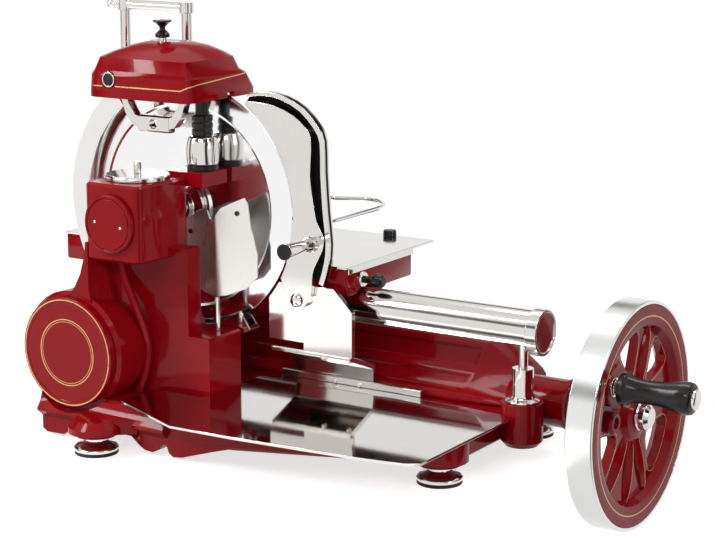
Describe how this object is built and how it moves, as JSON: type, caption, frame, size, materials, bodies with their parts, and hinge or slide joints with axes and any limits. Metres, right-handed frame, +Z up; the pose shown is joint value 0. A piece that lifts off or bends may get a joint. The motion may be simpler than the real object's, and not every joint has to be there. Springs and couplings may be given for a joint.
{
  "type": "meat_slicer",
  "caption": "Hand crank meat slicer in red enamel with a flywheel, round blade, sliding feed table, thickness gauge, slice tray and a built-in sharpener",
  "frame": {"origin": "On the top of the stand that carries the four feet, below the tray's left half, in the plane of the blade", "axes": "+X along the carriage tube towards the flywheel, +Y away from the operator towards the product side of the blade, +Z up"},
  "size_m": [0.8629, 0.4455, 0.57],
  "materials": {
    "red_enamel": "glossy",
    "chrome": "mirror",
    "polished_steel": "polished",
    "black_phenolic": "glossy",
    "grey_stone": "rough grey abrasive"
  },
  "bodies": {
    "base": {"base_casting": "red_enamel", "drive_cover": "red_enamel", "rear_track": "polished_steel", "column": "red_enamel", "gear_case_cover": "red_enamel", "blade_shaft_cap": "red_enamel", "column_lid": "chrome", "lid_pin": "chrome", "pedestal_band": "black_phenolic", "sharpener_pedestal": "chrome", "pedestal_neck": "black_phenolic", "sharpener_yoke": "chrome", "sharpener_cover": "red_enamel", "sharpener_bolt": "black_phenolic", "foot_front_left": "chrome", "foot_front_right": "chrome", "foot_rear_left": "chrome", "foot_rear_right": "chrome", "guide_tube": "chrome", "tube_end_cap": "chrome", "tube_post": "chrome", "tube_left_support": "red_enamel", "tray": "polished_steel", "rear_rail": "chrome", "blade_guard_ring": "chrome", "slice_deflector": "polished_steel", "deflector_rod": "chrome"},
    "blade_body": {"blade": "polished_steel", "blade_shaft": "chrome"},
    "flywheel": {"flywheel_web": "red_enamel", "flywheel_band": "chrome", "flywheel_shaft": "chrome", "hub_nut": "chrome", "crank_pin": "chrome"},
    "grip": {"crank_grip": "black_phenolic"},
    "carriage": {"carriage_body": "red_enamel", "feed_collar": "chrome"},
    "feed_knob_body": {"feed_knob": "black_phenolic"},
    "roller_left_body": {"roller_left": "polished_steel"},
    "roller_right_body": {"roller_right": "polished_steel"},
    "table": {"feed_table": "polished_steel", "press_post_left": "chrome", "press_post_right": "chrome", "press_crossbar": "chrome", "press_lever": "chrome", "table_stud": "black_phenolic"},
    "press": {"press_block": "polished_steel", "press_loop": "chrome"},
    "gauge": {"gauge_rim": "polished_steel", "gauge_plate": "polished_steel", "gauge_bracket": "polished_steel", "gauge_foot": "polished_steel", "gauge_lever": "chrome", "gauge_lever_end": "black_phenolic", "gauge_bolt": "chrome"},
    "plunger": {"plunger_knob": "black_phenolic", "plunger_stem": "chrome", "stone_front": "grey_stone", "stone_rear": "grey_stone"}
  },
  "joints": [
    {"name": "flywheel_spin", "type": "hinge", "parent": "base", "child": "flywheel", "pos_m": [0.362, 0.108, 0.062], "axis": [1, 0, 0], "continuous": true},
    {"name": "blade_spin", "type": "hinge", "parent": "base", "child": "blade_body", "pos_m": [-0.1933, 0.004, 0.2672], "axis": [0, 1, 0], "continuous": true},
    {"name": "crank_grip_spin", "type": "hinge", "parent": "flywheel", "child": "grip", "pos_m": [0.3726, 0.02581, 0.11537], "axis": [1, 0, 0], "continuous": true},
    {"name": "carriage_slide", "type": "slide", "parent": "base", "child": "carriage", "axis": [1, 0, 0], "range_m": [0, 0.23]},
    {"name": "roller_left_spin", "type": "hinge", "parent": "carriage", "child": "roller_left_body", "pos_m": [-0.246, 0.148, 0.1356], "axis": [0, 1, 0], "continuous": true},
    {"name": "roller_right_spin", "type": "hinge", "parent": "carriage", "child": "roller_right_body", "pos_m": [-0.081, 0.148, 0.1356], "axis": [0, 1, 0], "continuous": true},
    {"name": "feed_knob_spin", "type": "hinge", "parent": "carriage", "child": "feed_knob_body", "pos_m": [0.0326, 0.0435, 0.1935], "axis": [1, 0, 0], "continuous": true},
    {"name": "feed_slide", "type": "slide", "parent": "carriage", "child": "table", "axis": [0, 1, 0], "range_m": [0, 0.12]},
    {"name": "press_slide", "type": "slide", "parent": "table", "child": "press", "axis": [0, 0, 1], "range_m": [-0.034, 0.13]},
    {"name": "gauge_slide", "type": "slide", "parent": "base", "child": "gauge", "axis": [0, -1, 0], "range_m": [0, 0.015]},
    {"name": "sharpener_plunge", "type": "slide", "parent": "base", "child": "plunger", "axis": [0, 0, -1], "range_m": [0, 0.004], "stiffness_N_per_m": 900, "springref_m": -0.003}
  ],
  "couplings": [
    {"joint": "blade_spin", "follows": "flywheel_spin", "ratio": 4}
  ]
}
